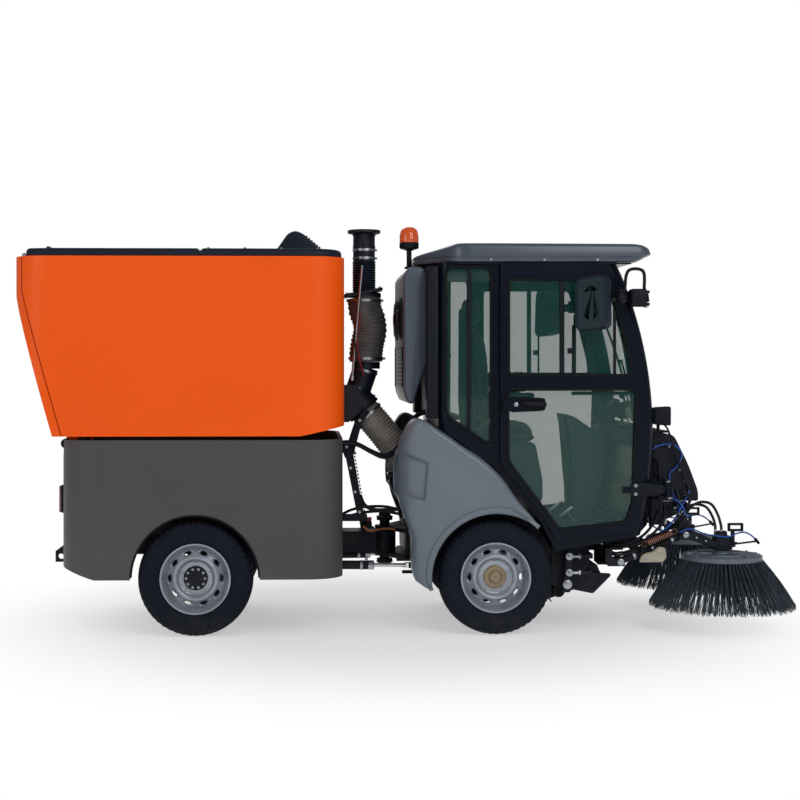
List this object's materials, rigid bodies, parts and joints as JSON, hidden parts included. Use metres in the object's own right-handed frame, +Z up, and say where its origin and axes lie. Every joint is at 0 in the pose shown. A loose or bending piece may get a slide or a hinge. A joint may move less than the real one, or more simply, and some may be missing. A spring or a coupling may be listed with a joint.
{
  "type": "compact articulated street sweeper truck",
  "caption": "Compact articulated street sweeper: orange tipping hopper, dark glazed cab, two raised side brushes and a suction nozzle, parked on its four wheels.",
  "frame": {"origin": "on the ground under the middle of the machine's overall box, parked straight", "axes": "+X forward, towards the brushes; +Y to the machine's left; +Z up"},
  "size_m": [4.127, 1.659, 2.1649],
  "materials": {
    "orange_paint": "gloss",
    "grey_panel": "satin",
    "dark_cover": "satin",
    "cab_black": "gloss",
    "roof_grey": "satin",
    "fender_grey": "satin",
    "chassis_black": "satin",
    "bright_steel": "polished",
    "rim_steel": "silver enamel",
    "tyre_rubber": "matt",
    "tinted_glass": "tinted clear",
    "hose_rubber": "matt",
    "bristle": "matt",
    "brush_plate": "satin",
    "amber_lens": "clear",
    "lamp_black": "satin",
    "red_lens": "clear",
    "seat_cloth": "woven"
  },
  "bodies": {
    "rear_chassis": {"rear_frame": "chassis_black", "rear_axle": "chassis_black", "engine_block": "chassis_black", "side_panel_right": "grey_panel", "side_panel_left": "grey_panel", "end_panels": "grey_panel", "tail_lamps": "red_lens", "hose_collar": "chassis_black", "suction_hose": "hose_rubber", "loom": "hose_rubber"},
    "hopper": {"hopper_shell": "orange_paint", "front_cover": "dark_cover", "intake_duct": "dark_cover", "stack_hose": "hose_rubber", "stack_pipe": "dark_cover"},
    "hopper_lid": {"rear_lid": "dark_cover"},
    "tailgate": {"tailgate": "orange_paint"},
    "front_chassis": {"front_frame": "chassis_black", "front_axle": "chassis_black", "front_fenders": "fender_grey", "cab_frame": "cab_black", "cab_glass": "tinted_glass", "cab_roof": "roof_grey", "ac_unit": "roof_grey", "beacon": "amber_lens", "driver_seat": "seat_cloth", "steering_console": "cab_black", "front_box": "chassis_black", "work_lamps": "lamp_black", "suction_duct": "dark_cover", "nozzle_boot": "hose_rubber"},
    "nozzle": {"suction_nozzle": "chassis_black"},
    "door_right": {"door_right": "cab_black", "door_glass_right": "tinted_glass", "mirror_right": "cab_black"},
    "door_left": {"door_left": "cab_black", "door_glass_left": "tinted_glass", "mirror_left": "cab_black"},
    "wheel_rear_right": {"tyre_rear_right": "tyre_rubber", "rim_rear_right": "rim_steel"},
    "wheel_rear_left": {"tyre_rear_left": "tyre_rubber", "rim_rear_left": "rim_steel"},
    "wheel_front_right": {"tyre_front_right": "tyre_rubber", "rim_front_right": "rim_steel"},
    "wheel_front_left": {"tyre_front_left": "tyre_rubber", "rim_front_left": "rim_steel"},
    "steer_barrel_right": {"steer_barrel_right": "chassis_black"},
    "steer_rod_right": {"steer_rod_right": "bright_steel"},
    "brush_knuckle_right": {"brush_knuckle_right": "chassis_black"},
    "brush_arm_right": {"brush_arm_right": "chassis_black"},
    "brush_head_right": {"brush_head_right": "chassis_black"},
    "brush_right": {"brush_disc_right": "brush_plate", "brush_bristles_right": "bristle"},
    "steer_barrel_left": {"steer_barrel_left": "chassis_black"},
    "steer_rod_left": {"steer_rod_left": "bright_steel"},
    "brush_knuckle_left": {"brush_knuckle_left": "chassis_black"},
    "brush_arm_left": {"brush_arm_left": "chassis_black"},
    "brush_head_left": {"brush_head_left": "chassis_black"},
    "brush_left": {"brush_disc_left": "brush_plate", "brush_bristles_left": "bristle"}
  },
  "joints": [
    {"name": "steering", "type": "hinge", "parent": "rear_chassis", "child": "front_chassis", "pos_m": [-0.104, 0, 0.434], "axis": [0, 0, 1], "range_deg": [-30, 30], "deforming": ["suction_hose", "loom"]},
    {"name": "hopper_tip", "type": "hinge", "parent": "rear_chassis", "child": "hopper", "pos_m": [-1.8, 0, 1], "axis": [0, -1, 0], "range_deg": [0, 50]},
    {"name": "tailgate_hinge", "type": "hinge", "parent": "hopper", "child": "tailgate", "pos_m": [-2.04, 0, 1.994], "axis": [0, 1, 0], "range_deg": [0, 80]},
    {"name": "rear_lid_hinge", "type": "hinge", "parent": "hopper", "child": "hopper_lid", "pos_m": [-1.09, 0, 2.026], "axis": [0, 1, 0], "range_deg": [0, 70]},
    {"name": "door_right_hinge", "type": "hinge", "parent": "front_chassis", "child": "door_right", "pos_m": [1.35, -0.622, 0.76], "axis": [-0.124, 0, 0.9923], "range_deg": [0, 75]},
    {"name": "door_left_hinge", "type": "hinge", "parent": "front_chassis", "child": "door_left", "pos_m": [1.35, 0.622, 0.76], "axis": [0.124, 0, -0.9923], "range_deg": [0, 75]},
    {"name": "wheel_rear_right_spin", "type": "hinge", "parent": "rear_chassis", "child": "wheel_rear_right", "pos_m": [-1.117, -0.5175, 0.3], "axis": [0, 1, 0], "continuous": true},
    {"name": "wheel_rear_left_spin", "type": "hinge", "parent": "rear_chassis", "child": "wheel_rear_left", "pos_m": [-1.117, 0.5175, 0.3], "axis": [0, 1, 0], "continuous": true},
    {"name": "wheel_front_right_spin", "type": "hinge", "parent": "front_chassis", "child": "wheel_front_right", "pos_m": [0.448, -0.5175, 0.3], "axis": [0, 1, 0], "continuous": true},
    {"name": "wheel_front_left_spin", "type": "hinge", "parent": "front_chassis", "child": "wheel_front_left", "pos_m": [0.448, 0.5175, 0.3], "axis": [0, 1, 0], "continuous": true},
    {"name": "steer_barrel_right_swing", "type": "hinge", "parent": "rear_chassis", "child": "steer_barrel_right", "pos_m": [-0.64, -0.215, 0.326], "axis": [0, 0, 1], "range_deg": [-8, 8]},
    {"name": "steer_rod_right_slide", "type": "slide", "parent": "steer_barrel_right", "child": "steer_rod_right", "axis": [0.9974, -0.0719, 0], "range_m": [-0.135, 0.135]},
    {"name": "brush_swing_right", "type": "hinge", "parent": "front_chassis", "child": "brush_knuckle_right", "pos_m": [1.06, -0.33, 0.4], "axis": [0, 0, -1], "range_deg": [0, 25]},
    {"name": "brush_lift_right", "type": "hinge", "parent": "brush_knuckle_right", "child": "brush_arm_right", "pos_m": [1.13, -0.43, 0.363], "axis": [0, 1, 0], "range_deg": [0, 17.5]},
    {"name": "brush_level_right", "type": "hinge", "parent": "brush_arm_right", "child": "brush_head_right", "pos_m": [1.48, -0.43, 0.507], "axis": [0, 1, 0], "range_deg": [-18, 0]},
    {"name": "brush_spin_right", "type": "hinge", "parent": "brush_head_right", "child": "brush_right", "pos_m": [1.68, -0.43, 0.4], "axis": [0, 0, 1], "continuous": true},
    {"name": "steer_barrel_left_swing", "type": "hinge", "parent": "rear_chassis", "child": "steer_barrel_left", "pos_m": [-0.64, 0.215, 0.326], "axis": [0, 0, 1], "range_deg": [-8, 8]},
    {"name": "steer_rod_left_slide", "type": "slide", "parent": "steer_barrel_left", "child": "steer_rod_left", "axis": [0.9974, 0.0719, 0], "range_m": [-0.135, 0.135]},
    {"name": "brush_swing_left", "type": "hinge", "parent": "front_chassis", "child": "brush_knuckle_left", "pos_m": [1.06, 0.33, 0.4], "axis": [0, 0, 1], "range_deg": [0, 25]},
    {"name": "brush_lift_left", "type": "hinge", "parent": "brush_knuckle_left", "child": "brush_arm_left", "pos_m": [1.13, 0.43, 0.363], "axis": [0, 1, 0], "range_deg": [0, 17.5]},
    {"name": "brush_level_left", "type": "hinge", "parent": "brush_arm_left", "child": "brush_head_left", "pos_m": [1.48, 0.43, 0.507], "axis": [0, 1, 0], "range_deg": [-18, 0]},
    {"name": "brush_spin_left", "type": "hinge", "parent": "brush_head_left", "child": "brush_left", "pos_m": [1.68, 0.43, 0.4], "axis": [0, 0, 1], "continuous": true},
    {"name": "nozzle_lift", "type": "hinge", "parent": "front_chassis", "child": "nozzle", "pos_m": [0.3, 0, 0.44], "axis": [0, 1, 0], "range_deg": [0, 20], "deforming": ["nozzle_boot"]}
  ],
  "couplings": [
    {"joint": "steer_barrel_right_swing", "follows": "steering", "ratio": 0.1885},
    {"joint": "steer_rod_right_slide", "follows": "steering", "m_per_rad": 0.2469},
    {"joint": "brush_level_right", "follows": "brush_lift_right", "ratio": -1},
    {"joint": "steer_barrel_left_swing", "follows": "steering", "ratio": 0.1885},
    {"joint": "steer_rod_left_slide", "follows": "steering", "m_per_rad": -0.2469},
    {"joint": "brush_level_left", "follows": "brush_lift_left", "ratio": -1}
  ]
}
